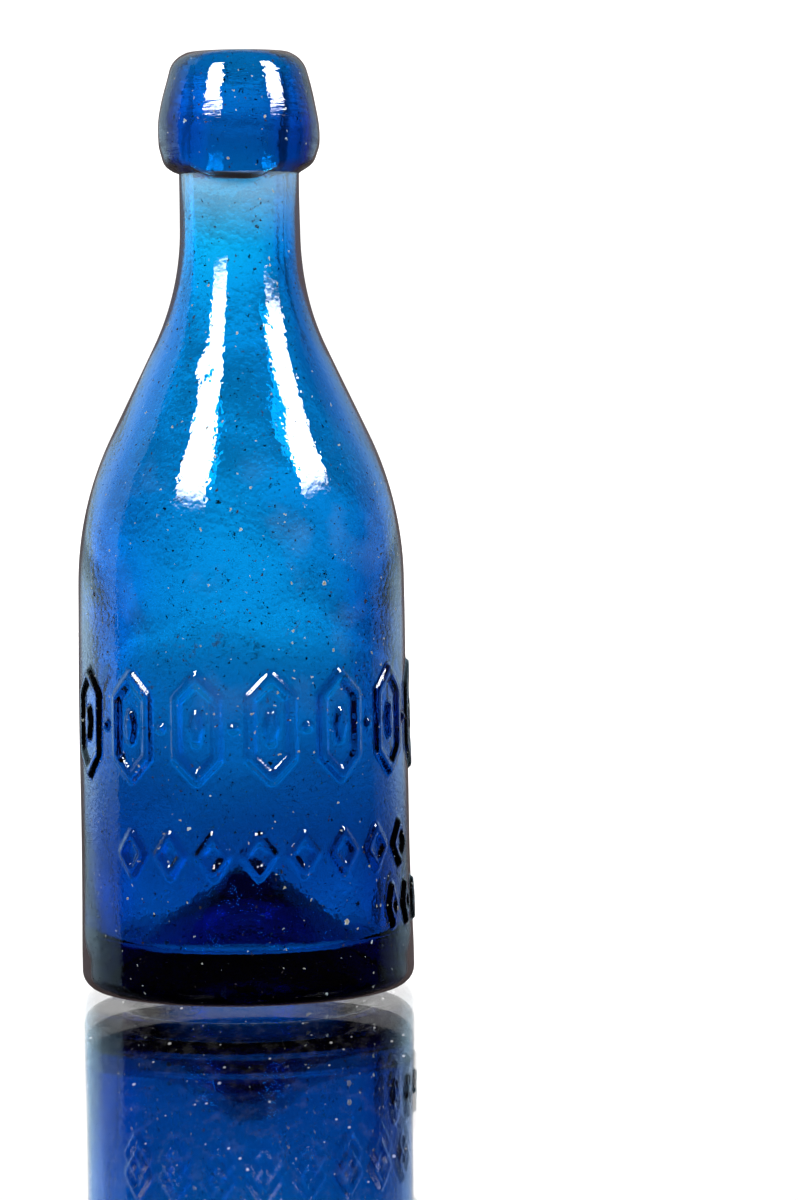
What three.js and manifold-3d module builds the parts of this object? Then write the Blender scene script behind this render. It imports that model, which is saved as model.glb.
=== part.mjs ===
// An antique soda-water bottle of cobalt blue glass, open, empty and standing on its base.
// It is two pieces of glass: the bottle, blown in a mould with its relief, and the thick
// lip that was applied as a second gather of hot glass and fused round the neck's cut end.
// Units are millimetres, +Z is up, and the origin is the middle of the resting plane.

import * as THREE from 'three';
import { mergeVertices } from 'three/addons/utils/BufferGeometryUtils.js';
import Module from 'manifold-3d';

const manifold = await Module();
manifold.setup();

// Overall sizes, which drive everything else.
const HEIGHT = 185;
const NECK_RADIUS = 11.85;
const SHOULDER_RADIUS = 32.1;
const HEEL_RADIUS = 33;

// The wall is thicker low down, and the bore narrows a little inside the lip.
const SHOULDER_WALL = 4.4;
const HEEL_WALL = 7;
const NECK_BORE_RADIUS = 8.6;
const NECK_TOP_BORE_RADIUS = 9.4;
const NECK_END_BORE_RADIUS = 9;
const LIP_BORE_RADIUS = 8.6;

// Heights of the corners that the rounded outline turns at.
const SHOULDER_Z = 95.8;
const NECK_Z = 137.7;
const THICKENING_Z = 66;
const LIP_Z = HEIGHT - 24;
const NECK_END_Z = HEIGHT - 13;

// The base: a flat resting ring round a conical push-up, with a thick floor over it.
const REST_RING_INNER_RADIUS = 25;
const PUSH_UP_HEIGHT = 13.5;
const FLOOR_EDGE_Z = 9.2;
const FLOOR_FOOT_RADIUS = 21.5;
const FLOOR_PEAK_RADIUS = 3.5;
const FLOOR_PEAK_Z = 23;

// The applied lip: its widest place is low down, and its side leans in towards the rim.
// The crown is the corner that the rim's rounding brings down to the full height.
const LIP_RADIUS = 16.15;
const LIP_WAIST_RADIUS = 14.9;
const LIP_TOP_RADIUS = 13.05;
const LIP_CROWN_RADIUS = 9.2;
const LIP_CROWN_Z = HEIGHT + 0.69;
const LIP_BULGE_Z = LIP_Z + 8.4;
const LIP_WAIST_Z = LIP_Z + 14.8;

// The relief stands this far out of the wall, and its roots reach this far into it.
const RELIEF_PROUD = 0.7;
const RELIEF_ROOT = 1;
const RELIEF_EDGE = 0.5;

const TURN_SEGMENTS = 48;
const ARC_TOLERANCE = 0.12;

// A corner of a lathe outline: radius, height and the radius of the arc that rounds it.
function corner(radius, z, fillet = 0) {
  return { point: new THREE.Vector2(radius, z), fillet };
}

// The arc that rounds one corner, from the line it arrives on to the line it leaves on.
function filletPoints(before, at, after) {
  const arriving = before.point.clone().sub(at.point).normalize();
  const leaving = after.point.clone().sub(at.point).normalize();
  const halfAngle = Math.acos(THREE.MathUtils.clamp(arriving.dot(leaving), -1, 1)) / 2;
  const bisector = arriving.clone().add(leaving).normalize();
  const centre = at.point.clone().addScaledVector(bisector, at.fillet / Math.sin(halfAngle));
  const tangent = at.fillet / Math.tan(halfAngle);
  const start = at.point.clone().addScaledVector(arriving, tangent).sub(centre);
  const end = at.point.clone().addScaledVector(leaving, tangent).sub(centre);
  const sweep = Math.atan2(start.cross(end), start.dot(end));
  const widestStep = 2 * Math.acos(1 - ARC_TOLERANCE / at.fillet);
  const steps = Math.max(2, Math.ceil(Math.abs(sweep) / widestStep));
  return Array.from({ length: steps + 1 }, (_, step) =>
    start.clone().rotateAround(new THREE.Vector2(), (sweep * step) / steps).add(centre));
}

// A lathe outline through the corners, each rounded by its own fillet.
function roundedOutline(corners, closed) {
  const last = corners.length - 1;
  const points = corners.flatMap((at, index) => {
    const isEnd = !closed && (index === 0 || index === last);
    if (isEnd || at.fillet === 0) return [at.point];
    const before = corners[(index + last) % corners.length];
    const after = corners[(index + 1) % corners.length];
    return filletPoints(before, at, after);
  });
  return closed ? [...points, points[0]] : points;
}

function turned(outline) {
  return new THREE.LatheGeometry(outline, TURN_SEGMENTS).rotateX(Math.PI / 2);
}

// From the middle of the underside, out and up the outside, over the neck's end and back
// down the inside to the middle of the floor.
function bottleOutline() {
  const innerShoulderRadius = SHOULDER_RADIUS - SHOULDER_WALL;
  const innerHeelRadius = HEEL_RADIUS - HEEL_WALL;
  return roundedOutline([
    corner(0, PUSH_UP_HEIGHT),
    corner(4, PUSH_UP_HEIGHT, 9),
    corner(REST_RING_INNER_RADIUS, 0, 3),
    corner(HEEL_RADIUS, 0, 3.5),
    corner(SHOULDER_RADIUS, SHOULDER_Z, 66),
    corner(NECK_RADIUS, NECK_Z, 52),
    corner(NECK_RADIUS, NECK_END_Z),
    corner(NECK_END_BORE_RADIUS, NECK_END_Z),
    corner(NECK_TOP_BORE_RADIUS, LIP_Z - 3, 30),
    corner(NECK_BORE_RADIUS, NECK_Z - 1.2, 53),
    corner(innerShoulderRadius, SHOULDER_Z - 0.8, 62),
    corner(innerShoulderRadius + 0.6, THICKENING_Z, 60),
    corner(innerHeelRadius, FLOOR_EDGE_Z + 15, 30),
    corner(innerHeelRadius, FLOOR_EDGE_Z, 2.5),
    corner(FLOOR_FOOT_RADIUS, FLOOR_EDGE_Z + 0.7, 5),
    corner(FLOOR_PEAK_RADIUS, FLOOR_PEAK_Z, 6),
    corner(0, FLOOR_PEAK_Z),
  ], false);
}

// Round the neck's end: out along the foot, up the bulging side, over the rim, down the
// bore to the neck's cut end, and down the outside of the neck again.
function lipOutline() {
  return roundedOutline([
    corner(NECK_RADIUS, LIP_Z),
    corner(LIP_RADIUS - 1.3, LIP_Z + 1.8, 3),
    corner(LIP_RADIUS - 0.2, LIP_Z + 5.4, 6),
    corner(LIP_RADIUS, LIP_BULGE_Z, 14),
    corner(LIP_WAIST_RADIUS, LIP_WAIST_Z, 60),
    corner(LIP_TOP_RADIUS, HEIGHT - 1.8, 5),
    corner(LIP_CROWN_RADIUS, LIP_CROWN_Z, 1.2),
    corner(LIP_BORE_RADIUS, HEIGHT - 1.2, 1),
    corner(LIP_BORE_RADIUS, HEIGHT - 6, 8),
    corner(NECK_END_BORE_RADIUS, NECK_END_Z),
    corner(NECK_RADIUS, NECK_END_Z),
  ], true);
}

// The outer radius of the straight, slightly tapered wall that carries the relief.
function wallRadius(z) {
  return THREE.MathUtils.lerp(HEEL_RADIUS, SHOULDER_RADIUS, z / SHOULDER_Z);
}

// An upright six-sided outline with a point at each end, each as tall as half the width.
function panelShape(width, height) {
  const side = width / 2;
  const end = height / 2;
  return new THREE.Shape([
    new THREE.Vector2(0, -end),
    new THREE.Vector2(side, side - end),
    new THREE.Vector2(side, end - side),
    new THREE.Vector2(0, end),
    new THREE.Vector2(-side, end - side),
    new THREE.Vector2(-side, side - end),
  ]);
}

function lozengeShape(width, height) {
  return new THREE.Shape([
    new THREE.Vector2(0, -height / 2),
    new THREE.Vector2(width / 2, 0),
    new THREE.Vector2(0, height / 2),
    new THREE.Vector2(-width / 2, 0),
  ]);
}

// The outline as a frame: a smaller one of the same kind is cut out of its middle.
function frameOf(shapeOf, width, height, stroke, endStroke) {
  const shape = shapeOf(width, height);
  shape.holes.push(shapeOf(width - 2 * stroke, height - 2 * endStroke));
  return shape;
}

// Raise a flat outline and bend it on to the wall, at an angle from the front (-Y).
function raisedOnWall(shape, angle, middleZ) {
  const geometry = new THREE.ExtrudeGeometry(shape, {
    depth: RELIEF_PROUD + RELIEF_ROOT - 2 * RELIEF_EDGE,
    bevelThickness: RELIEF_EDGE,
    bevelSize: RELIEF_EDGE,
    bevelOffset: -RELIEF_EDGE,
    bevelSegments: 1,
  });
  geometry.translate(0, middleZ, RELIEF_EDGE - RELIEF_ROOT);
  const place = geometry.getAttribute('position');
  for (let index = 0; index < place.count; index += 1) {
    const z = place.getY(index);
    const turn = angle + place.getX(index) / wallRadius(z);
    const radius = wallRadius(z) + place.getZ(index);
    place.setXYZ(index, radius * Math.sin(turn), -radius * Math.cos(turn), z);
  }
  return geometry;
}

// A row of the same outline, repeated round the wall.
function reliefRow({ shape, count, firstAngle, pitch, middleZ }) {
  return Array.from({ length: count }, (_, index) =>
    raisedOnWall(shape, THREE.MathUtils.degToRad(firstAngle + pitch * index), middleZ));
}

// Plain geometric ornament: a row of tall panels with a lozenge in each and a bead between
// them, a row of small lozenges below it, and three small solid lozenges below that.
function reliefPieces() {
  const panels = { count: 8, firstAngle: -65, pitch: 25.5, middleZ: 54 };
  const beads = { count: 7, firstAngle: -52.25, pitch: 25.5, middleZ: 54 };
  const lozenges = { count: 8, firstAngle: -40, pitch: 15.5, middleZ: 29.5 };
  const lowLozenges = { count: 3, firstAngle: 62, pitch: 11, middleZ: 17.5 };
  return [
    ...reliefRow({ ...panels, shape: frameOf(panelShape, 10, 22, 1.9, 2.7) }),
    ...reliefRow({ ...panels, shape: lozengeShape(2.8, 7) }),
    ...reliefRow({ ...beads, shape: lozengeShape(2, 2) }),
    ...reliefRow({ ...lozenges, shape: frameOf(lozengeShape, 7.6, 10.5, 2.2, 3) }),
    ...reliefRow({ ...lowLozenges, shape: lozengeShape(4.2, 9) }),
  ];
}

// A closed geometry as a solid that can be joined to others.
function solidOf(geometry) {
  const bare = geometry.clone();
  bare.deleteAttribute('normal');
  bare.deleteAttribute('uv');
  const merged = mergeVertices(bare);
  const corners = merged.getIndex().array;
  const triangles = [];
  for (let index = 0; index < corners.length; index += 3) {
    const [a, b, c] = corners.slice(index, index + 3);
    if (a !== b && b !== c && c !== a) triangles.push(a, b, c);
  }
  return new manifold.Manifold(new manifold.Mesh({
    numProp: 3,
    vertProperties: Float32Array.from(merged.getAttribute('position').array),
    triVerts: Uint32Array.from(triangles),
  }));
}

function geometryOf(solid) {
  const mesh = solid.getMesh();
  const geometry = new THREE.BufferGeometry();
  geometry.setAttribute('position', new THREE.BufferAttribute(mesh.vertProperties, 3));
  geometry.setIndex(new THREE.BufferAttribute(mesh.triVerts, 1));
  geometry.computeVertexNormals();
  return geometry;
}

function bottleGeometry() {
  const plain = solidOf(turned(bottleOutline()));
  const whole = reliefPieces().reduce((solid, piece) => solid.add(solidOf(piece)), plain);
  return geometryOf(whole);
}

function glassPiece(name, geometry, color) {
  const material = new THREE.MeshStandardMaterial({ color, roughness: 0.12, metalness: 0 });
  const mesh = new THREE.Mesh(geometry, material);
  mesh.name = name;
  return mesh;
}

const bottle = new THREE.Group();
bottle.add(glassPiece('bottle_body', bottleGeometry(), 0x0a66b0));
bottle.add(glassPiece('applied_lip', turned(lipOutline()), 0x0a59a0));

export default bottle;
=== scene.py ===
"""An antique cobalt glass bottle: the blown bottle and its applied lip, in bright-field light.

The glass is in millimetres until its mesh is made, and the frame gives the main sizes. The
stage, the lights and the camera are in metres. The outlines are turned about +Z. The relief,
the uneven wall and the lip's hanging foot are geometry.
"""

import math

import bpy
import numpy as np
from mathutils import Euler, Matrix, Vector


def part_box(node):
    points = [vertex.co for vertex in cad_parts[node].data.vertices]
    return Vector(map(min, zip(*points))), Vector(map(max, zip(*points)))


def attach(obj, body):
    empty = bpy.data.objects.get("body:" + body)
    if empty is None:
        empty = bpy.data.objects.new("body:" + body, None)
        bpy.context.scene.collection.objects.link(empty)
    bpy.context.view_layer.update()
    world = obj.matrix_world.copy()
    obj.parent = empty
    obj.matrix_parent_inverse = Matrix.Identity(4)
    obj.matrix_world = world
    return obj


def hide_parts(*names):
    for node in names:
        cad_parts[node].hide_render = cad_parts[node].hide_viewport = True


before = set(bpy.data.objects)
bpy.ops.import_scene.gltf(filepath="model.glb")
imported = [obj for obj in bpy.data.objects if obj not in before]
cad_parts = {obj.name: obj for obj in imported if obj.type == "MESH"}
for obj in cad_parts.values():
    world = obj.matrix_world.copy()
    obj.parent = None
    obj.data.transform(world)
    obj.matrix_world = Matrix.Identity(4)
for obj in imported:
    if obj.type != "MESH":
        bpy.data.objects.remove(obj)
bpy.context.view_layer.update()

MM = 0.001

# ---------------------------------------------------------------- sizes from the frame

BODY_LOW, BODY_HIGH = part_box("bottle_body")
LIP_LOW, LIP_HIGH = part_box("applied_lip")
HEIGHT = LIP_HIGH.z / MM
LIP_FOOT_Z = LIP_LOW.z / MM
NECK_END_Z = BODY_HIGH.z / MM
LIP_RADIUS = LIP_HIGH.x / MM

# The CAD body is faceted, so its box falls this much short of the full radius.
FACET_SHORTFALL = 0.03
HEEL_RADIUS = -BODY_LOW.x / MM + FACET_SHORTFALL

# These follow from those by the proportions of the bottle.
SHOULDER_RADIUS = 0.973 * HEEL_RADIUS
NECK_RADIUS = 0.359 * HEEL_RADIUS
SHOULDER_Z = 0.518 * HEIGHT
NECK_Z = 0.7443 * HEIGHT

# The hollow and the underside.
LIP_BORE_RADIUS = 8.6
NECK_END_BORE_RADIUS = 9.4
NECK_BORE_RADIUS = 8.6
UPPER_WALL = 4.4
LOWER_WALL = 7
THICKENING_Z = 66
PUSH_UP_HEIGHT = 13.5
FLOOR_EDGE_Z = 9.2
FLOOR_PEAK_Z = 23
REST_RING_INNER_RADIUS = 25

FUSED_GAP = 0.01
CORNER_LOOP = 0.05
OUTLINE_SAMPLES = 8000
RELIEF_COLUMNS = 232
BACK_COLUMNS = 72
LIP_COLUMNS = 200

# ---------------------------------------------------------------- outlines


def corner(radius, z, fillet=0.0):
    return np.array([radius, z], float), fillet


def fillet_points(before, at, after, fillet, chord=0.25):
    """The arc that rounds one corner of an outline."""
    arriving = (before - at) / np.linalg.norm(before - at)
    leaving = (after - at) / np.linalg.norm(after - at)
    half_angle = math.acos(np.clip(arriving @ leaving, -1, 1)) / 2
    bisector = (arriving + leaving) / np.linalg.norm(arriving + leaving)
    centre = at + bisector * fillet / math.sin(half_angle)
    start = at + arriving * fillet / math.tan(half_angle) - centre
    end = at + leaving * fillet / math.tan(half_angle) - centre
    first = math.atan2(start[1], start[0])
    sweep = math.atan2(start[0] * end[1] - start[1] * end[0], start @ end)
    steps = max(3, math.ceil(abs(sweep) * fillet / chord))
    angles = first + sweep * np.linspace(0, 1, steps + 1)
    return centre + fillet * np.stack([np.cos(angles), np.sin(angles)], axis=1)


def rounded_outline(corners):
    points = []
    for index, (at, fillet) in enumerate(corners):
        if fillet == 0:
            points.append(at[None])
            continue
        before = corners[index - 1][0]
        after = corners[index + 1][0]
        points.append(fillet_points(before, at, after, fillet))
    return np.concatenate(points)


def spaced(points, step_at):
    """The outline again, with points about step_at(radius, z) apart."""
    lengths = np.linalg.norm(np.diff(points, axis=0), axis=1)
    along = np.concatenate([[0], np.cumsum(lengths)])
    fine = np.linspace(0, along[-1], OUTLINE_SAMPLES)
    radius = np.interp(fine, along, points[:, 0])
    z = np.interp(fine, along, points[:, 1])
    density = 1 / np.array([step_at(r, h) for r, h in zip(radius, z)])
    density_between = (density[1:] + density[:-1]) / 2
    count_so_far = np.concatenate([[0], np.cumsum(density_between * np.diff(fine))])
    total = max(2, round(count_so_far[-1]))
    chosen = np.interp(np.linspace(0, count_so_far[-1], total + 1), count_so_far, fine)
    chosen_radius = np.interp(chosen, along, points[:, 0])
    chosen_z = np.interp(chosen, along, points[:, 1])
    return np.stack([chosen_radius, chosen_z], axis=1)


def just_past(end, neighbour):
    """A point of the outline very close to one end."""
    return end + CORNER_LOOP * (neighbour - end) / np.linalg.norm(neighbour - end)


def firm_ends(points):
    """The same outline with a point just inside each end, which keeps a sharp corner there
    sharp although the surface is shaded smooth."""
    first = just_past(points[0], points[1])
    last = just_past(points[-1], points[-2])
    return np.concatenate([points[:1], [first], points[1:-1], [last], points[-1:]])


def outer_corners():
    """From the middle of the push-up, out under the base, and up the outside to the lip."""
    return [
        corner(0, PUSH_UP_HEIGHT),
        corner(4, PUSH_UP_HEIGHT, 9),
        corner(REST_RING_INNER_RADIUS, 0, 3),
        corner(HEEL_RADIUS, 0, 3.5),
        corner(SHOULDER_RADIUS, SHOULDER_Z, 66),
        corner(NECK_RADIUS, NECK_Z, 52),
        corner(NECK_RADIUS, LIP_FOOT_Z),
    ]


def inner_corners():
    """From the neck's end down the inside to the middle of the floor."""
    return [
        corner(NECK_END_BORE_RADIUS - 0.4, NECK_END_Z),
        corner(NECK_END_BORE_RADIUS, LIP_FOOT_Z - 3, 30),
        corner(NECK_BORE_RADIUS, NECK_Z - 1.2, 53),
        corner(SHOULDER_RADIUS - UPPER_WALL, SHOULDER_Z - 0.8, 62),
        corner(SHOULDER_RADIUS - UPPER_WALL + 0.6, THICKENING_Z, 60),
        corner(HEEL_RADIUS - LOWER_WALL, FLOOR_EDGE_Z + 15, 30),
        corner(HEEL_RADIUS - LOWER_WALL, FLOOR_EDGE_Z, 2.5),
        corner(21.5, FLOOR_EDGE_Z + 0.7, 5),
        corner(3.5, FLOOR_PEAK_Z, 6),
        corner(0, FLOOR_PEAK_Z),
    ]


def lip_corners():
    """From the lip's foot on the neck, up the outside, over the rim and down the bore."""
    return [
        corner(NECK_RADIUS + FUSED_GAP, LIP_FOOT_Z),
        corner(LIP_RADIUS - 1.3, LIP_FOOT_Z + 1.8, 3),
        corner(LIP_RADIUS - 0.2, LIP_FOOT_Z + 5.4, 6),
        corner(LIP_RADIUS, LIP_FOOT_Z + 9.6, 22),
        corner(LIP_RADIUS - 1.1, LIP_FOOT_Z + 15.2, 50),
        corner(0.808 * LIP_RADIUS, HEIGHT - 1.7, 5),
        corner(9.2, HEIGHT + 0.25, 1.2),
        corner(LIP_BORE_RADIUS, HEIGHT - 1.2, 1),
        corner(LIP_BORE_RADIUS, HEIGHT - 6, 8),
        corner(NECK_END_BORE_RADIUS - 0.4, NECK_END_Z + FUSED_GAP),
    ]


# ---------------------------------------------------------------- relief

RELIEF_PROUD = 0.7
RELIEF_LOW_Z = 10
RELIEF_HIGH_Z = 67
RELIEF_FIRST_ANGLE = math.radians(-76)
RELIEF_LAST_ANGLE = math.radians(124)

# Width and height of each motif's outline, and half the width of its raised line.
PANEL_SIZE = (8.1, 19.5)
PANEL_LINE = 1.35
PANEL_LOZENGE_SIZE = (1.2, 5)
LOZENGE_SIZE = (5.4, 7.6)
SMALL_LOZENGE_SIZE = (2.6, 7)
LOZENGE_LINE = 1.15
BEAD_RADIUS = 1.1

# No motif reaches further than this from its middle.
MOTIF_REACH_ACROSS = 7
MOTIF_REACH_UP = 13


def distance_to_loop(x, z, loop):
    """How far each point is from the nearest side of a closed outline."""
    nearest = np.full(x.shape, np.inf)
    for (ax, az), (bx, bz) in zip(loop, loop[1:] + loop[:1]):
        length_squared = (bx - ax) ** 2 + (bz - az) ** 2
        along = np.clip(((x - ax) * (bx - ax) + (z - az) * (bz - az)) / length_squared, 0, 1)
        nearest = np.minimum(nearest, np.hypot(x - ax - along * (bx - ax), z - az - along * (bz - az)))
    return nearest


def ridge(distance, half_width, edge=0.75):
    """A bead with a flat top and rounded sides that run out smoothly into the wall."""
    inside = np.clip((half_width - distance) / edge, 0, 1)
    return inside * inside * (3 - 2 * inside)


def panel_loop(width, height):
    """A tall six-sided outline with a square corner at its top and bottom."""
    side = width / 2
    end = height / 2
    right_half = [(0, -end), (side, side - end), (side, end - side)]
    left_half = [(0, end), (-side, end - side), (-side, side - end)]
    return right_half + left_half


def lozenge_loop(width, height):
    return [(0, -height / 2), (width / 2, 0), (0, height / 2), (-width / 2, 0)]


def panel_motif(x, z):
    frame_ridge = ridge(distance_to_loop(x, z, panel_loop(*PANEL_SIZE)), PANEL_LINE)
    lozenge = ridge(distance_to_loop(x, z, lozenge_loop(*PANEL_LOZENGE_SIZE)), LOZENGE_LINE)
    return np.maximum(frame_ridge, lozenge)


def lozenge_motif(x, z):
    return ridge(distance_to_loop(x, z, lozenge_loop(*LOZENGE_SIZE)), LOZENGE_LINE)


def small_lozenge_motif(x, z):
    return ridge(distance_to_loop(x, z, lozenge_loop(*SMALL_LOZENGE_SIZE)), LOZENGE_LINE)


def bead_motif(x, z):
    return ridge(np.hypot(x, z), BEAD_RADIUS)


# The first motif's angle and the pitch are in degrees round from the front.
RELIEF_ROWS = [
    {"motif": panel_motif, "count": 8, "first": -65, "pitch": 25.5, "z": 54},
    {"motif": bead_motif, "count": 7, "first": -52.25, "pitch": 25.5, "z": 54},
    {"motif": lozenge_motif, "count": 8, "first": -40, "pitch": 15.5, "z": 29.5},
    {"motif": small_lozenge_motif, "count": 3, "first": 62, "pitch": 11, "z": 17.5},
]


def relief_height(angle, z):
    """How far the relief stands out of the wall at each angle (from -Y) and height."""
    height = np.zeros(angle.shape)
    for row in RELIEF_ROWS:
        for index in range(row["count"]):
            middle = math.radians(row["first"] + row["pitch"] * index)
            x = (angle - middle) * HEEL_RADIUS
            near = (np.abs(x) < MOTIF_REACH_ACROSS) & (np.abs(z - row["z"]) < MOTIF_REACH_UP)
            height[near] = np.maximum(height[near], row["motif"](x[near], z[near] - row["z"]))
    return RELIEF_PROUD * height


def relief_edges(height):
    """1 on the sides of the relief, where dirt collects, and 0 on the flat wall."""
    rise_across = np.abs(height - np.roll(height, 1, axis=1))
    rise_along = np.abs(height - np.roll(height, 1, axis=0))
    rise = rise_across + rise_along
    return np.clip(rise / (0.3 * RELIEF_PROUD), 0, 1)


# ---------------------------------------------------------------- turned meshes


def waves(angle, z, seed, turns, wavelength, count=9):
    """Smooth unevenness that closes on itself round the bottle, between about -1 and 1."""
    random = np.random.RandomState(seed)
    total = np.zeros(angle.shape)
    for _ in range(count):
        around = random.randint(0, turns + 1)
        along = 2 * math.pi / (wavelength * random.uniform(0.7, 2.2))
        phase = random.uniform(0, 2 * math.pi)
        tilt = random.choice([-1, 1])
        total += np.sin(around * angle + tilt * along * z + phase)
    return total / math.sqrt(count) / 1.4


def column_angles():
    """Angles round the body: close together where the relief is, wider at the back."""
    fine = np.linspace(RELIEF_FIRST_ANGLE, RELIEF_LAST_ANGLE, RELIEF_COLUMNS, endpoint=False)
    rest = 2 * math.pi - (RELIEF_LAST_ANGLE - RELIEF_FIRST_ANGLE)
    wide = RELIEF_LAST_ANGLE + rest * np.linspace(0, 1, BACK_COLUMNS, endpoint=False)
    return np.concatenate([fine, wide])


def lean(z):
    """Hand-made glass is never quite straight: how far the middle wanders sideways."""
    return np.interp(z, [0, 15, 50, 80, 110, 150, HEIGHT], [0, -0.1, -0.38, -0.38, -0.1, 0.4, 0.5])


def placed(radius, angle, z):
    x = radius * np.sin(angle) + lean(z)
    return np.stack([x, -radius * np.cos(angle), z], axis=-1).reshape(-1, 3) * MM


class TurnedMesh:
    """Collects rings of points and the faces between them. A face's kind is 1 where the two
    pieces are fused and 0 elsewhere."""

    def __init__(self):
        self.points = []
        self.faces = []
        self.kinds = []
        self.dirt_and_crevice_shade = {}
        self.total = 0

    def add_points(self, points):
        first = self.total
        self.points.append(points)
        self.total += len(points)
        return first

    def rings(self, radius, angle, z):
        """Adds rows of rings and returns the index of each ring's first point."""
        rows, columns = radius.shape
        first = self.add_points(placed(radius, angle, z))
        return [first + row * columns for row in range(rows)]

    def join(self, lower, upper, columns, kind=0):
        for column in range(columns):
            after = (column + 1) % columns
            self.faces.append((lower + column, lower + after, upper + after, upper + column))
            self.kinds.append(kind)

    def join_halved(self, fine, coarse, columns, kind):
        """Joins a ring to one with half as many points."""
        half = columns // 2
        for index in range(half):
            a, b, c = fine + 2 * index, fine + 2 * index + 1, fine + (2 * index + 2) % columns
            low, high = coarse + index, coarse + (index + 1) % half
            for face in ((a, b, low), (b, high, low), (b, c, high)):
                self.faces.append(face)
                self.kinds.append(kind)

    def cap(self, ring, columns, centre, flipped):
        middle = self.add_points(np.array([centre]) * MM)
        for column in range(columns):
            face = (middle, ring + (column + 1) % columns, ring + column)
            self.faces.append(face[::-1] if flipped else face)
            self.kinds.append(0)

    def object(self, name):
        mesh = bpy.data.meshes.new(name)
        mesh.from_pydata(np.concatenate(self.points).tolist(), [], self.faces)
        mesh.polygons.foreach_set("use_smooth", np.ones(len(mesh.polygons), bool))
        fused = mesh.attributes.new("fused", "FLOAT", "FACE")
        fused.data.foreach_set("value", np.array(self.kinds, np.float32))
        dirt_and_crevice_shade = np.zeros(self.total, np.float32)
        for first, values in self.dirt_and_crevice_shade.items():
            dirt_and_crevice_shade[first:first + values.size] = values.ravel()
        mesh.attributes.new("dirt_and_crevice_shade", "FLOAT", "POINT").data.foreach_set("value", dirt_and_crevice_shade)
        mesh.update()
        made = bpy.data.objects.new(name, mesh)
        bpy.context.scene.collection.objects.link(made)
        return made


def outer_step(radius, z):
    """How far apart the outline's points are: closest where the relief is."""
    on_wall = radius > 0.9 * HEEL_RADIUS
    if on_wall and RELIEF_LOW_Z < z < RELIEF_HIGH_Z:
        return 0.5
    if z < 5 or z > LIP_FOOT_Z - 3:
        return 0.8
    return 1.5


def inner_step(radius, z):
    return 1.0 if z < 20 else 1.7


# Degrees round from the front, height, depth, and reach across and up.
DENTS = [
    (-18, 122.5, 0.3, 1.6, 1.6),
    (-17, 104.5, 0.06, 0.5, 4),
    (23, 131, 0.1, 1.5, 2),
    (21, 115, 0.08, 1.2, 3),
]


def front_swell(angle, z):
    """The glass is a little fuller in front, where the neck runs out into the shoulder."""
    start = np.clip((148 - z) / 10, 0, 1)
    rise = start * start * (3 - 2 * start) * np.clip((z - 112) / 26, 0, 1)
    return 0.42 * rise * np.exp(-((np.angle(np.exp(1j * angle)) / 0.75) ** 2))


def wall_swell(angle, z):
    """How much thicker the wall is than its outline says, or thinner where this is below 0:
    in front and behind alike, at both sides alike, and in the neck, whose bore is off
    centre, thicker on the right and thinner on the left."""
    front = np.interp(z, [12, 25, 45, 58, 70, 82, 95], [1.0, 1.2, 0.8, 0.5, -0.3, -0.3, 0])
    side = np.interp(z, [50, 62, 75, 90, 105], [0, 0.7, 1.0, 0.4, 0])
    above_floor = np.clip((z - FLOOR_EDGE_Z) / 3, 0, 1)
    right = np.interp(z, [110, 140, LIP_FOOT_Z, NECK_END_Z], [0, 0.5, 0.5, 0])
    all_round = front * np.cos(angle) ** 2 + side * np.sin(angle) ** 2
    return above_floor * all_round + right * np.sin(angle)


def dents(angle, z):
    """A few shallow dents in front."""
    total = np.zeros(angle.shape)
    for turn, middle, depth, wide, tall in DENTS:
        across = np.angle(np.exp(1j * (angle - math.radians(turn)))) * 22 / wide
        along = (z - middle) / tall
        total -= depth * np.exp(-(across * across + along * along) / 2)
    return total


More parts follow.
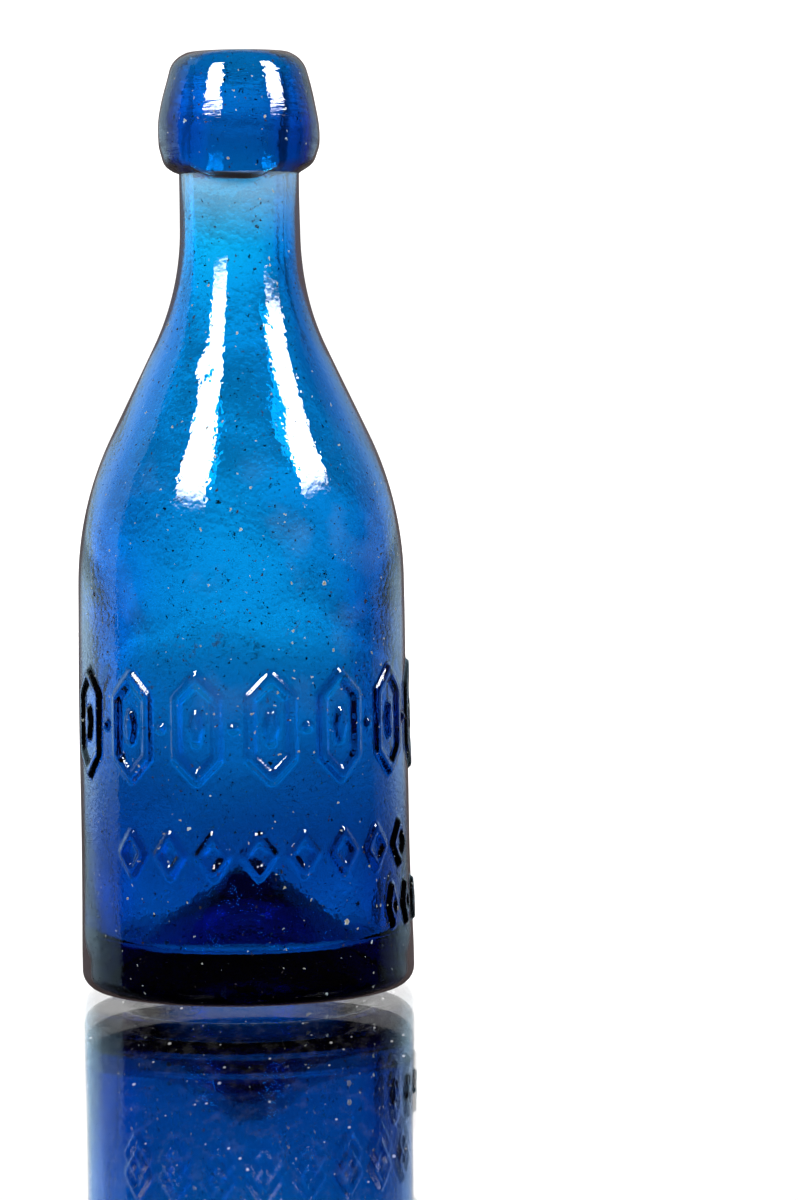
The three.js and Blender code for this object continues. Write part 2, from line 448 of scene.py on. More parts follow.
def build_body():
    angles = column_angles()
    columns = len(angles)
    outer = spaced(rounded_outline(outer_corners()), outer_step)[1:]
    outer = np.concatenate([outer, [[NECK_RADIUS, NECK_END_Z]]])
    inner = firm_ends(spaced(rounded_outline(inner_corners()), inner_step))[:-1]
    inner = np.concatenate([[inner[0] + (CORNER_LOOP, 0)], inner])
    turned = TurnedMesh()

    angle, z = np.meshgrid(angles, outer[:, 1])
    radius = np.repeat(outer[:, :1], columns, axis=1)
    below_lip = np.clip((LIP_FOOT_Z - 2 - z) / 10, 0, 1) * np.clip(z / 8, 0, 1)
    radius = radius + 0.12 * below_lip * waves(angle, z, seed=3, turns=5, wavelength=45)
    radius = radius + front_swell(angle, z) + dents(angle, z)
    relief = relief_height(angle, z) * (radius > 0.9 * HEEL_RADIUS)
    outer_rings = turned.rings(radius + relief, angle, z)
    turned.dirt_and_crevice_shade[outer_rings[0]] = relief_edges(relief)

    angle, z = np.meshgrid(angles[::2], inner[:, 1])
    radius = np.repeat(inner[:, :1], columns // 2, axis=1)
    wide_waves = waves(angle, z, seed=11, turns=4, wavelength=38)
    close_waves = waves(angle, z, seed=17, turns=9, wavelength=17)
    unevenness = 0.28 * wide_waves + 0.1 * close_waves
    in_neck = np.clip((z - 138) / 8, 0, 1) * np.clip((NECK_END_Z - z) / 8, 0, 1)
    streaks = 0.05 * in_neck * waves(angle, z, seed=23, turns=26, wavelength=400)
    radius = radius + unevenness * np.clip(radius / 20, 0, 1) + streaks - wall_swell(angle, z)
    inner_rings = turned.rings(radius, angle, z)

    turned.cap(outer_rings[0], columns, (0, 0, PUSH_UP_HEIGHT), flipped=False)
    for row, (lower, upper) in enumerate(zip(outer_rings, outer_rings[1:])):
        turned.join(lower, upper, columns, kind=int(row == len(outer) - 2))
    turned.join_halved(outer_rings[-1], inner_rings[0], columns, kind=1)
    for row, (lower, upper) in enumerate(zip(inner_rings, inner_rings[1:])):
        turned.join(lower, upper, columns // 2, kind=int(row == 0))
    turned.cap(inner_rings[-1], columns // 2, (0, 0, FLOOR_PEAK_Z), flipped=True)
    return turned.object("blown_bottle")


# Dirt and crevice shade up to 1 only makes specks more crowded. Above 1 it is painted shade that covers
# the glass outright, as in the crevice under the lip's front.
CREVICE_SHADE = 2


def front_of_foot(angle):
    """1 in the middle of the front, where the applied glass ran down, and 0 at the sides."""
    return np.exp(-((np.angle(np.exp(1j * (angle + 0.05))) / 0.55) ** 4))


def lip_foot_drop(angle):
    """The applied glass hangs a little lower over the neck in places, most of all in front."""
    return 1.9 * front_of_foot(angle) + 0.2 * np.sin(3 * angle + 1) + 0.12 * np.sin(7 * angle)


def build_lip():
    columns = LIP_COLUMNS
    outline = firm_ends(spaced(rounded_outline(lip_corners()), lambda radius, z: 0.45))
    by_bore = outline[-1] + (CORNER_LOOP, 0)
    neck_end = (NECK_RADIUS + FUSED_GAP, NECK_END_Z + FUSED_GAP)
    by_foot = outline[0] + (0, CORNER_LOOP)
    outline = np.concatenate([outline, [by_bore, neck_end, by_foot]])
    angle, z = np.meshgrid(np.linspace(0, 2 * math.pi, columns, endpoint=False), outline[:, 1])
    radius = np.repeat(outline[:, :1], columns, axis=1)
    outside = np.clip(radius - NECK_RADIUS - 0.1, 0, 1)
    near_foot = np.clip((LIP_FOOT_Z + 5 - z) / 4, 0, 1) * outside
    z = z - near_foot * lip_foot_drop(angle)
    radius = radius + 0.14 * outside * waves(angle, z, seed=5, turns=4, wavelength=16)
    turned = TurnedMesh()
    rings = turned.rings(radius, angle, z)
    # Painted shade: the crevice where the front of the lip's foot meets the neck is marked to be
    # darkened outright.
    by_neck = np.clip((NECK_RADIUS + 2.8 - radius) / 0.4, 0, 1)
    underside = (radius > NECK_RADIUS) * (z < LIP_FOOT_Z + 1) * by_neck
    turned.dirt_and_crevice_shade[rings[0]] = CREVICE_SHADE * underside * front_of_foot(angle)
    for row in range(len(rings)):
        after = (row + 1) % len(rings)
        turned.join(rings[row], rings[after], columns, kind=int(row >= len(rings) - 4))
    return turned.object("applied_lip_glass")


# ---------------------------------------------------------------- materials

# How strongly the glass absorbs, per metre, and the light that it lets through best.
GLASS_DENSITY = 1000
LIP_GLASS_DENSITY = 905
ABSORPTION_COLOR = (0.0, 0.813, 0.915)
GLASS_IOR = 1.52

CLEAN_COLOR = (0.7, 0.92, 1)
GRIT_COLOR = (0.16, 0.145, 0.115)
# The dark of dirt specks and smudges, also used for the painted crevice shade.
DIRT_AND_SHADE_COLOR = (0.016, 0.014, 0.016)
# The brown of the painted edge shade on the outlines.
EDGE_SHADE_COLOR = (0.045, 0.033, 0.033)

# How dense the painted edge shade (a brown film darkening the outlines) is, from square on (0) to along
# the surface (1).
BODY_EDGE_SHADE = [(0.5, 0), (0.66, 0.12), (0.78, 0.38), (0.85, 0.93), (1, 0.96)]
LIP_EDGE_SHADE = [(0.4, 0), (0.6, 0.25), (0.78, 0.55), (0.85, 0.93), (1, 0.96)]


def new_material(name):
    material = bpy.data.materials.new(name)
    material.use_nodes = True
    material.node_tree.nodes.clear()
    return material, material.node_tree


def math_node(tree, operation, *values, clamp=False):
    node = tree.nodes.new("ShaderNodeMath")
    node.operation = operation
    node.use_clamp = clamp
    for index, value in enumerate(values):
        if isinstance(value, (int, float)):
            node.inputs[index].default_value = value
        else:
            tree.links.new(value, node.inputs[index])
    return node.outputs[0]


def step_up(tree, value, edge, softness):
    """0 below the edge and 1 above it, with a soft change."""
    shifted = math_node(tree, "SUBTRACT", value, edge)
    return math_node(tree, "MULTIPLY_ADD", shifted, 1 / softness, 0.5, clamp=True)


def between(tree, value, low, high, softness):
    """1 between two values and 0 outside them, with soft changes."""
    above = step_up(tree, value, low, softness)
    beyond = step_up(tree, value, high, softness)
    return math_node(tree, "SUBTRACT", above, beyond)


def ramp(tree, value, stops, top):
    """A curve through (value, height) stops, with heights up to top."""
    low, high = stops[0][0], stops[-1][0]
    place = math_node(tree, "MULTIPLY_ADD", value, 1 / (high - low), -low / (high - low), clamp=True)
    node = tree.nodes.new("ShaderNodeValToRGB")
    elements = node.color_ramp.elements
    for at, _ in stops[1:-1]:
        elements.new((at - low) / (high - low))
    for element, (_, height) in zip(elements, stops):
        element.color = (height / top, height / top, height / top, 1)
    tree.links.new(place, node.inputs[0])
    return math_node(tree, "MULTIPLY", node.outputs[0], top)


def object_place(tree):
    """The place on the glass in millimetres, as a vector, and its height alone."""
    place = tree.nodes.new("ShaderNodeTexCoord")
    scaled = tree.nodes.new("ShaderNodeVectorMath")
    scaled.operation = "SCALE"
    scaled.inputs["Scale"].default_value = 1 / MM
    tree.links.new(place.outputs["Object"], scaled.inputs[0])
    split = tree.nodes.new("ShaderNodeSeparateXYZ")
    tree.links.new(scaled.outputs[0], split.inputs[0])
    return scaled.outputs[0], split.outputs["Z"]


def stretched(tree, vector, scale, shift=(0, 0, 0)):
    node = tree.nodes.new("ShaderNodeMapping")
    node.inputs["Scale"].default_value = scale
    node.inputs["Location"].default_value = shift
    tree.links.new(vector, node.inputs["Vector"])
    return node.outputs[0]


def noise(tree, vector, wavelength, detail=2.0, roughness=0.5):
    node = tree.nodes.new("ShaderNodeTexNoise")
    node.inputs["Scale"].default_value = 1 / wavelength
    node.inputs["Detail"].default_value = detail
    node.inputs["Roughness"].default_value = roughness
    tree.links.new(vector, node.inputs["Vector"])
    return node.outputs["Fac"]


def spots(tree, vector, spacing, share, radius):
    """Round spots of uneven size, one in each chosen cell of a random pattern, and a
    random number that is the same all over each spot."""
    cells = tree.nodes.new("ShaderNodeTexVoronoi")
    cells.inputs["Scale"].default_value = 1 / spacing
    tree.links.new(vector, cells.inputs["Vector"])
    chance = tree.nodes.new("ShaderNodeSeparateColor")
    tree.links.new(cells.outputs["Color"], chance.inputs[0])
    chosen = math_node(tree, "LESS_THAN", chance.outputs["Red"], share)
    smallest = 0.3 * radius / spacing
    reach = math_node(tree, "MULTIPLY_ADD", chance.outputs["Green"], radius / spacing, smallest)
    inside = math_node(tree, "SUBTRACT", reach, cells.outputs["Distance"])
    edge = math_node(tree, "MULTIPLY", inside, 3 * spacing / radius, clamp=True)
    return math_node(tree, "MULTIPLY", edge, chosen), chance.outputs["Blue"]


def shaken(tree, vector, wavelength, reach):
    """The place moved about a little, so that round patterns come out ragged."""
    texture = tree.nodes.new("ShaderNodeTexNoise")
    texture.inputs["Scale"].default_value = 1 / wavelength
    texture.inputs["Detail"].default_value = 0
    tree.links.new(vector, texture.inputs["Vector"])
    move = tree.nodes.new("ShaderNodeVectorMath")
    move.operation = "MULTIPLY_ADD"
    move.inputs[1].default_value = (reach, reach, reach)
    tree.links.new(texture.outputs["Color"], move.inputs[0])
    tree.links.new(vector, move.inputs[2])
    return move.outputs[0]


# The share of the small and of the large specks that are tan grit. The others are dark.
SMALL_TAN_SHARE = 0.28
LARGE_TAN_SHARE = 0.55

# Haze begins at this height on the neck and is full this much higher.
HAZE_START_Z = 146
HAZE_RISE = 15


def glass_dirt_and_shade(tree, vector, z):
    """Where dark pits and smudges, tan grit and pale dust sit on the glass, each from 0 to 1.
    The dark also holds the painted shade in the crevice under the lip's front.
    """
    uneven = shaken(tree, vector, wavelength=0.5, reach=0.8)
    dirt_and_crevice_shade = tree.nodes.new("ShaderNodeAttribute")
    dirt_and_crevice_shade.attribute_name = "dirt_and_crevice_shade"
    crowding = math_node(tree, "MULTIPLY_ADD", noise(tree, vector, wavelength=17, detail=1), 1.6, -0.14)
    crowding = math_node(tree, "MULTIPLY_ADD", dirt_and_crevice_shade.outputs["Fac"], 0.6, crowding)
    cloud_noise = noise(tree, vector, wavelength=8, detail=3)
    clouds = math_node(tree, "MULTIPLY_ADD", cloud_noise, 5, -2.5, clamp=True)
    over_relief = between(tree, z, RELIEF_HIGH_Z - 10, RELIEF_HIGH_Z + 8, softness=6)
    cloud = math_node(tree, "MULTIPLY", clouds, over_relief)
    crowding = math_node(tree, "ADD", cloud, crowding)
    blot_noise = noise(tree, vector, wavelength=1.5, detail=3, roughness=0.6)
    blots = math_node(tree, "MULTIPLY_ADD", blot_noise, 12, -7, clamp=True)
    smudges = math_node(tree, "MULTIPLY", math_node(tree, "MULTIPLY", blots, cloud), 0.7)
    small, small_kind = spots(tree, uneven, spacing=1.3, share=crowding, radius=0.22)
    large, large_kind = spots(tree, uneven, spacing=5, share=0.45, radius=0.5)
    small_is_tan = math_node(tree, "LESS_THAN", small_kind, SMALL_TAN_SHARE)
    small_tan = math_node(tree, "MULTIPLY", small, small_is_tan)
    large_is_tan = math_node(tree, "LESS_THAN", large_kind, LARGE_TAN_SHARE)
    large_tan = math_node(tree, "MULTIPLY", large, large_is_tan)
    grit = math_node(tree, "MAXIMUM", small_tan, large_tan)
    dark = math_node(tree, "SUBTRACT", math_node(tree, "MAXIMUM", small, large), grit, clamp=True)
    # Painted shade in the crevice under the lip: above 1 the attribute darkens the glass outright.
    crevice_shade = math_node(tree, "SUBTRACT", dirt_and_crevice_shade.outputs["Fac"], 1, clamp=True)
    dark = math_node(tree, "MAXIMUM", dark, math_node(tree, "MAXIMUM", crevice_shade, smudges))
    up_neck = math_node(tree, "MULTIPLY_ADD", z, 1 / HAZE_RISE, -HAZE_START_Z / HAZE_RISE, clamp=True)
    below_lip = math_node(tree, "LESS_THAN", z, LIP_FOOT_Z)
    neck_haze = math_node(tree, "MULTIPLY", math_node(tree, "MULTIPLY", up_neck, up_neck), below_lip)
    patch_noise = noise(tree, vector, wavelength=14, detail=3)
    patches = math_node(tree, "MULTIPLY_ADD", patch_noise, 6, -3.3, clamp=True)
    upper_body = between(tree, z, 58, 104, softness=12)
    body_haze = math_node(tree, "MULTIPLY", math_node(tree, "MULTIPLY", patches, upper_body), 0.08)
    haze = math_node(tree, "MULTIPLY", math_node(tree, "MAXIMUM", neck_haze, body_haze), 0.2)
    return dark, grit, haze


def painted_edge_shade(tree, vector, z, edge_shade_curve):
    """Painted edge shade: a brown film, drawn only for camera rays and only where the camera
    looks along the surface, which darkens the outlines. It is uneven, and thicker on the neck
    and at the base."""
    facing = tree.nodes.new("ShaderNodeLayerWeight")
    facing.inputs["Blend"].default_value = 0.5
    rays = tree.nodes.new("ShaderNodeLightPath")
    patches = noise(tree, stretched(tree, vector, (1, 1, 0.15)), wavelength=5, detail=3)
    uneven = math_node(tree, "MULTIPLY_ADD", patches, 0.16, -0.08)
    edge_shade_amount = math_node(tree, "ADD", facing.outputs["Facing"], uneven)
    on_neck = between(tree, z, 132, LIP_FOOT_Z, softness=16)
    edge_shade_amount = math_node(tree, "MULTIPLY_ADD", on_neck, 0.22, edge_shade_amount)
    on_base = math_node(tree, "SUBTRACT", 1, step_up(tree, z, FLOOR_EDGE_Z, softness=4))
    edge_shade_amount = math_node(tree, "MULTIPLY_ADD", on_base, 0.12, edge_shade_amount)
    edge_shade = ramp(tree, edge_shade_amount, edge_shade_curve, 1)
    return math_node(tree, "MULTIPLY", edge_shade, rays.outputs["Is Camera Ray"])


def surface_bump(tree, vector, tool_marks):
    """The fine unevenness of hand-made glass, with sideways tool marks where it was tooled."""
    ripple = noise(tree, vector, wavelength=1.1, detail=1)
    height = math_node(tree, "MULTIPLY", ripple, 0.04)
    if tool_marks:
        lines = noise(tree, stretched(tree, vector, (0.15, 0.15, 1)), wavelength=0.6, detail=1)
        height = math_node(tree, "MULTIPLY_ADD", lines, 0.06, height)
    bump = tree.nodes.new("ShaderNodeBump")
    bump.inputs["Strength"].default_value = 1
    bump.inputs["Distance"].default_value = MM
    tree.links.new(height, bump.inputs["Height"])
    return bump.outputs[0]


def mixed_color(tree, factor, first, second):
    node = tree.nodes.new("ShaderNodeMix")
    node.data_type = "RGBA"
    tree.links.new(factor, node.inputs["Factor"])
    for socket, value in ((node.inputs[6], first), (node.inputs[7], second)):
        if isinstance(value, tuple):
            socket.default_value = (*value, 1)
        else:
            tree.links.new(value, socket)
    return node.outputs[2]


def glass_material(name, density, edge_shade_curve, tool_marks=False):
    """Clear coloured glass. The colour is in the volume, so thicker glass is deeper blue.
    The fused faces between the two pieces are left out, since there is no surface there.
    Dark dirt, the painted shade in the crevice under the lip and the painted edge shade on
    the outlines lie over the glass as a separate dull layer."""
    material, tree = new_material(name)
    nodes, links = tree.nodes, tree.links
    vector, z = object_place(tree)
    dark, grit, haze = glass_dirt_and_shade(tree, vector, z)
    surface = nodes.new("ShaderNodeBsdfPrincipled")
    surface.inputs["IOR"].default_value = GLASS_IOR
    edge_shade = painted_edge_shade(tree, vector, z, edge_shade_curve)
    color = mixed_color(tree, grit, CLEAN_COLOR, GRIT_COLOR)
    links.new(color, surface.inputs["Base Color"])
    clear = math_node(tree, "SUBTRACT", 1, math_node(tree, "MAXIMUM", grit, haze))
    links.new(clear, surface.inputs["Transmission Weight"])
    links.new(math_node(tree, "MULTIPLY", grit, 0.5), surface.inputs["Roughness"])
    links.new(math_node(tree, "MULTIPLY_ADD", grit, -0.4, 0.4), surface.inputs["Specular IOR Level"])
    links.new(surface_bump(tree, vector, tool_marks), surface.inputs["Normal"])
    fused = nodes.new("ShaderNodeAttribute")
    fused.attribute_name = "fused"
    open_air = math_node(tree, "SUBTRACT", 1, fused.outputs["Fac"])
    links.new(open_air, surface.inputs["Alpha"])
    dirt_and_shade = nodes.new("ShaderNodeBsdfDiffuse")
    links.new(mixed_color(tree, edge_shade, DIRT_AND_SHADE_COLOR, EDGE_SHADE_COLOR), dirt_and_shade.inputs["Color"])
    with_dirt_and_shade = nodes.new("ShaderNodeMixShader")
    covered = math_node(tree, "MAXIMUM", edge_shade, math_node(tree, "MULTIPLY", dark, 0.97))
    links.new(math_node(tree, "MULTIPLY", covered, open_air), with_dirt_and_shade.inputs["Fac"])
    links.new(surface.outputs[0], with_dirt_and_shade.inputs[1])
    links.new(dirt_and_shade.outputs[0], with_dirt_and_shade.inputs[2])
    absorb = nodes.new("ShaderNodeVolumeAbsorption")
    absorb.inputs["Color"].default_value = (*ABSORPTION_COLOR, 1)
    absorb.inputs["Density"].default_value = density
    output = nodes.new("ShaderNodeOutputMaterial")
    links.new(with_dirt_and_shade.outputs[0], output.inputs["Surface"])
    links.new(absorb.outputs[0], output.inputs["Volume"])
    return material


def facing_curve(tree, stops):
    """A curve from 0, looked at square on, to 1, looked at along the surface."""
    angle = tree.nodes.new("ShaderNodeLayerWeight")
    angle.inputs["Blend"].default_value = 0.5
    return ramp(tree, angle.outputs["Facing"], stops, 1)


def mirrored_ray(tree):
    """Two switches for what the floor shows: 1 for a ray that a shiny surface mirrored on
    to it, and 1 for a ray straight from the camera."""
    rays = tree.nodes.new("ShaderNodeLightPath")
    not_bent = math_node(tree, "SUBTRACT", 1, rays.outputs["Is Transmission Ray"])
    mirrored = math_node(tree, "MULTIPLY", rays.outputs["Is Glossy Ray"], not_bent)
    return mirrored, rays.outputs["Is Camera Ray"]


# How strongly the floor and the sheet mirror, from square on (0) to along the surface (1).
FLOOR_SHINE = [(0.45, 0.05), (0.68, 0.2), (0.79, 0.72), (0.9, 0.95)]
SHEET_SHINE = [(0.45, 0.02), (0.7, 0.1), (0.83, 0.35), (0.92, 0.55)]
FLOOR_ROUGHNESS = 0.02


def floor_dust(tree):
    """Fine dust and grit lying on the floor, drawn out along Y, the photo's line of sight."""
    vector, _ = object_place(tree)
    long = stretched(tree, vector, (1, 0.22, 1))
    specks, _ = spots(tree, long, spacing=1.9, share=0.4, radius=0.28)
    smear_noise = noise(tree, long, wavelength=2.5, detail=3, roughness=0.7)
    smears = math_node(tree, "MULTIPLY_ADD", smear_noise, 0.09, -0.046, clamp=True)
    return math_node(tree, "MULTIPLY_ADD", specks, 0.45, smears)


def floor_material():
    """A polished pale table top: low down it is white by what it reflects of the backdrop,
    and seen from higher up by its own brightness, which the glass doesn't mirror."""
    material, tree = new_material("pale_floor")
    nodes, links = tree.nodes, tree.links
    shine = facing_curve(tree, FLOOR_SHINE)
    mirrored, direct = mirrored_ray(tree)
    gloss = nodes.new("ShaderNodeBsdfGlossy")
    gloss.inputs["Roughness"].default_value = FLOOR_ROUGHNESS
    links.new(shine, gloss.inputs["Color"])
    glow = nodes.new("ShaderNodeEmission")
    missing = math_node(tree, "MULTIPLY_ADD", shine, -1.5, 1.05, clamp=True)
    seen = math_node(tree, "MULTIPLY", missing, math_node(tree, "SUBTRACT", 1, mirrored))
    dust = math_node(tree, "MULTIPLY", floor_dust(tree), direct)
    links.new(math_node(tree, "ADD", seen, dust), glow.inputs["Strength"])
    both = nodes.new("ShaderNodeAddShader")
    links.new(gloss.outputs[0], both.inputs[0])
    links.new(glow.outputs[0], both.inputs[1])
    output = nodes.new("ShaderNodeOutputMaterial")
    links.new(both.outputs[0], output.inputs["Surface"])
    return material


def sheet_material():
    """The clear sheet over the floor, which gives a first, fainter reflection. Within about
    400 mm of its middle it is dimmer in what the glass mirrors, chosen to suit the photo."""
    material, tree = new_material("clear_sheet")
    nodes, links = tree.nodes, tree.links
    first = facing_curve(tree, SHEET_SHINE)
    vector, _ = object_place(tree)
    distance = nodes.new("ShaderNodeVectorMath")
    distance.operation = "LENGTH"
    links.new(vector, distance.inputs[0])
    beyond = step_up(tree, distance.outputs["Value"], edge=400, softness=200)
    near = math_node(tree, "SUBTRACT", 1, beyond)
    side = nodes.new("ShaderNodeNewGeometry")
    front = math_node(tree, "SUBTRACT", 1, side.outputs["Backfacing"])
    mirrored, _ = mirrored_ray(tree)
    dimming = math_node(tree, "MULTIPLY", math_node(tree, "MULTIPLY", near, front), mirrored)
    dimmed = math_node(tree, "MULTIPLY_ADD", dimming, -0.45, 1)
    clear = math_node(tree, "MULTIPLY_ADD", first, -0.6, 1)
    gloss = nodes.new("ShaderNodeBsdfGlossy")
    gloss.inputs["Roughness"].default_value = FLOOR_ROUGHNESS
    links.new(math_node(tree, "MULTIPLY", first, dimmed), gloss.inputs["Color"])
    through = nodes.new("ShaderNodeBsdfTransparent")
    links.new(math_node(tree, "MULTIPLY", clear, dimmed), through.inputs["Color"])
    both = nodes.new("ShaderNodeAddShader")
    links.new(gloss.outputs[0], both.inputs[0])
    links.new(through.outputs[0], both.inputs[1])
    output = nodes.new("ShaderNodeOutputMaterial")
    links.new(both.outputs[0], output.inputs["Surface"])
    return material


# ---------------------------------------------------------------- stage, light, camera

# The backdrop's brightness at each angle round from straight behind, positive to the
# right, and how that changes with the angle up from level. All angles are in degrees.
BACKDROP = [
    (-84.5, 0), (-82.5, 1), (-60, 1.3), (-50, 2.2), (-20, 2.3), (-8, 1.85), (6, 1.85), (14, 1.6),
    (24, 1.5), (38, 1.6), (47, 1.3), (54, 0.7), (66, 0.35), (73, 0.2), (77, 0),
]
BACKDROP_HEIGHTS = [
    (-3.5, 1.2), (-1.5, 0.86), (0, 0.62), (1.2, 0.6), (2.3, 1.1), (3.3, 0.95), (5, 0.74),
    (45, 0.8), (58, 0),
]
WHITE_LIGHT = (0.8, 0.8, 0.8)
SIDE_LIGHT = (0.52, 0.8, 1)
ROOM_LIGHT = (0.02, 0.017, 0.017)

SOFTBOX_LIGHT = 35
SOFTBOX_WIDTH = 0.28
SOFTBOX_HEIGHT = 0.6
SOFTBOX_DISTANCE = 0.6
SOFTBOX_MIDDLE_Z = 0.65
SOFTBOX_FADE = [(0, 0), (0.04, 0.05), (0.12, 0.6), (0.2, 1), (1, 1)]

# The ray that sees a highlight counts 2, and by way of the floor's mirror image 3.
DIRECT_HIGHLIGHT_DEPTH = 2.5

DISC_RADIUS = 1.1
DISC_POINTS = 96
FLOOR_Z = -0.0019
SHEET_Z = -0.00002

CAMERA_PLACE = (0.0309, -0.85, 0.127)
CAMERA_DOWN_DEGREES = 3.41
CAMERA_ROLL_DEGREES = -0.75
CAMERA_LENS = 128.7
SENSOR_WIDTH = 36

LIGHT_BOUNCES = 24


def heading_direction(tree):
    """The direction looked at, as sideways and away from the camera's heading, and up."""
    place = tree.nodes.new("ShaderNodeTexCoord")
    ahead = tree.nodes.new("ShaderNodeVectorTransform")
    ahead.vector_type = "VECTOR"
    ahead.convert_from = "CAMERA"
    ahead.convert_to = "WORLD"
    ahead.inputs[0].default_value = (0, 0, 1)
    level = tree.nodes.new("ShaderNodeVectorMath")
    level.operation = "MULTIPLY"
    level.inputs[1].default_value = (1, 1, 0)
    heading = tree.nodes.new("ShaderNodeVectorMath")
    heading.operation = "NORMALIZE"
    right = tree.nodes.new("ShaderNodeVectorMath")
    right.operation = "CROSS_PRODUCT"
    right.inputs[1].default_value = (0, 0, 1)
    tree.links.new(ahead.outputs[0], level.inputs[0])
    tree.links.new(level.outputs[0], heading.inputs[0])
    tree.links.new(heading.outputs[0], right.inputs[0])
    parts = []
    for axis in (right, heading):
        along = tree.nodes.new("ShaderNodeVectorMath")
        along.operation = "DOT_PRODUCT"
        tree.links.new(place.outputs["Generated"], along.inputs[0])
        tree.links.new(axis.outputs[0], along.inputs[1])
        parts.append(along.outputs["Value"])
    up = tree.nodes.new("ShaderNodeSeparateXYZ")
    tree.links.new(place.outputs["Generated"], up.inputs[0])
    return parts[0], parts[1], up.outputs["Z"]


def build_world():
    """A wide backdrop behind the bottle, brightest to the left, bluer towards its sides and
    uneven low down, with the dark room in front. It turns with the camera, so each view is
    lit alike. Behind the bottle, looked at directly, it is plain white."""
    world = bpy.data.worlds.new("studio")
    bpy.context.scene.world = world
    world.use_nodes = True
    tree = world.node_tree
    tree.nodes.clear()
    sideways, away, up = heading_direction(tree)
    azimuth = math_node(tree, "DEGREES", math_node(tree, "ARCTAN2", sideways, away))
    elevation = math_node(tree, "DEGREES", math_node(tree, "ARCSINE", up))
    around = ramp(tree, azimuth, BACKDROP, 2.5)
    height = ramp(tree, elevation, BACKDROP_HEIGHTS, 2)
    off_centre = math_node(tree, "ABSOLUTE", azimuth)
    to_side = math_node(tree, "MULTIPLY_ADD", off_centre, 1 / 20, -0.6, clamp=True)
    white = tree.nodes.new("ShaderNodeBackground")
    tree.links.new(mixed_color(tree, to_side, WHITE_LIGHT, SIDE_LIGHT), white.inputs["Color"])
    rays = tree.nodes.new("ShaderNodeLightPath")
    burnt_out = math_node(tree, "MULTIPLY", rays.outputs["Is Camera Ray"], 1.5)
    brightness = math_node(tree, "MAXIMUM", math_node(tree, "MULTIPLY", around, height), burnt_out)
    tree.links.new(brightness, white.inputs["Strength"])
    room = tree.nodes.new("ShaderNodeBackground")
    room.inputs["Color"].default_value = (*ROOM_LIGHT, 1)
    both = tree.nodes.new("ShaderNodeAddShader")
    tree.links.new(white.outputs[0], both.inputs[0])
    tree.links.new(room.outputs[0], both.inputs[1])
    output = tree.nodes.new("ShaderNodeOutputWorld")
    tree.links.new(both.outputs[0], output.inputs["Surface"])


def build_softbox(name, azimuth, camera):
    """A tall softbox in front and to one side, above the bottle, facing it. It is dimmer
    towards its lower edge, and the floor hardly mirrors its highlights on the glass."""
    light = bpy.data.lights.new(name, "AREA")
    light.shape = "RECTANGLE"
    light.size = SOFTBOX_WIDTH
    light.size_y = SOFTBOX_HEIGHT
    light.energy = SOFTBOX_LIGHT * math.pi * SOFTBOX_WIDTH * SOFTBOX_HEIGHT
    light.use_nodes = True
    tree = light.node_tree
    place = tree.nodes.new("ShaderNodeNewGeometry")
    up = tree.nodes.new("ShaderNodeSeparateXYZ")
    tree.links.new(place.outputs["Parametric"], up.inputs[0])
    fade = ramp(tree, up.outputs["Y"], SOFTBOX_FADE, 1)
    rays = tree.nodes.new("ShaderNodeLightPath")
    in_mirror = math_node(tree, "GREATER_THAN", rays.outputs["Ray Depth"], DIRECT_HIGHLIGHT_DEPTH)
    not_bent = math_node(tree, "LESS_THAN", rays.outputs["Transmission Depth"], 0.5)
    dimming = math_node(tree, "MULTIPLY_ADD", math_node(tree, "MULTIPLY", in_mirror, not_bent), -0.9, 1)
    tree.links.new(math_node(tree, "MULTIPLY", fade, dimming), tree.nodes["Emission"].inputs["Strength"])
    made = bpy.data.objects.new(name, light)
    bpy.context.scene.collection.objects.link(made)
    turn = math.radians(azimuth)
    across = SOFTBOX_DISTANCE * math.sin(turn)
    ahead = -SOFTBOX_DISTANCE * math.cos(turn)
    made.location = (across, ahead, SOFTBOX_MIDDLE_Z)
    made.rotation_euler = Euler((math.radians(90), 0, turn))
    bpy.context.view_layer.update()
    world = made.matrix_world.copy()
    made.parent = camera
    made.matrix_world = world


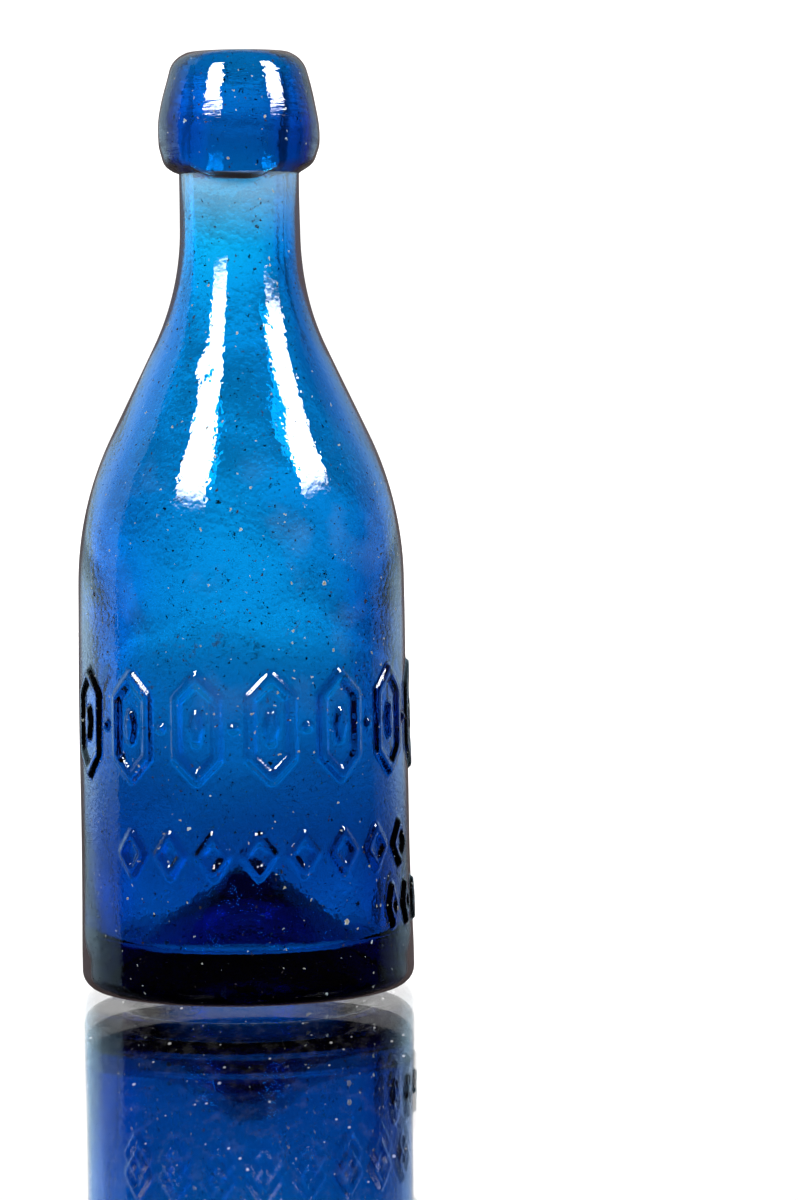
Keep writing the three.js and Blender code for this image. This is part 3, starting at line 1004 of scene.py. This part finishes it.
def build_disc(name, z, material):
    """A round, level part of the floor, in metres."""
    mesh = bpy.data.meshes.new(name)
    angles = np.linspace(0, 2 * math.pi, DISC_POINTS, endpoint=False)
    rim = [(DISC_RADIUS * math.cos(a), DISC_RADIUS * math.sin(a), z) for a in angles]
    mesh.from_pydata(rim, [], [tuple(range(DISC_POINTS))])
    disc = bpy.data.objects.new(name, mesh)
    bpy.context.scene.collection.objects.link(disc)
    mesh.materials.append(material)


def build_camera():
    camera = bpy.data.cameras.new("camera")
    camera.lens = CAMERA_LENS
    camera.sensor_width = SENSOR_WIDTH
    camera.clip_start = 0.01
    made = bpy.data.objects.new("camera", camera)
    bpy.context.scene.collection.objects.link(made)
    tilt = Matrix.Rotation(math.radians(90 - CAMERA_DOWN_DEGREES), 4, "X")
    roll = Matrix.Rotation(math.radians(CAMERA_ROLL_DEGREES), 4, "Z")
    made.matrix_world = Matrix.Translation(CAMERA_PLACE) @ (tilt @ roll)
    bpy.context.scene.camera = made
    bpy.context.view_layer.update()
    return made


# ---------------------------------------------------------------- the scene


def build_scene():
    glass = glass_material("cobalt_glass", GLASS_DENSITY, BODY_EDGE_SHADE)
    lip_glass = glass_material("lip_glass", LIP_GLASS_DENSITY, LIP_EDGE_SHADE, tool_marks=True)
    body = build_body()
    body.data.materials.append(glass)
    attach(body, "root")
    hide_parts("bottle_body")
    lip = build_lip()
    lip.data.materials.append(lip_glass)
    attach(lip, "root")
    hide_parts("applied_lip")
    build_disc("floor", FLOOR_Z, floor_material())
    build_disc("floor_sheet", SHEET_Z, sheet_material())
    build_world()
    camera = build_camera()
    build_softbox("left_softbox", azimuth=-38, camera=camera)
    build_softbox("right_softbox", azimuth=65, camera=camera)
    scene = bpy.context.scene
    scene.view_settings.view_transform = "Standard"
    scene.cycles.max_bounces = LIGHT_BOUNCES
    scene.cycles.transmission_bounces = LIGHT_BOUNCES
    scene.cycles.transparent_max_bounces = LIGHT_BOUNCES
    scene.cycles.sample_clamp_indirect = 0


build_scene()
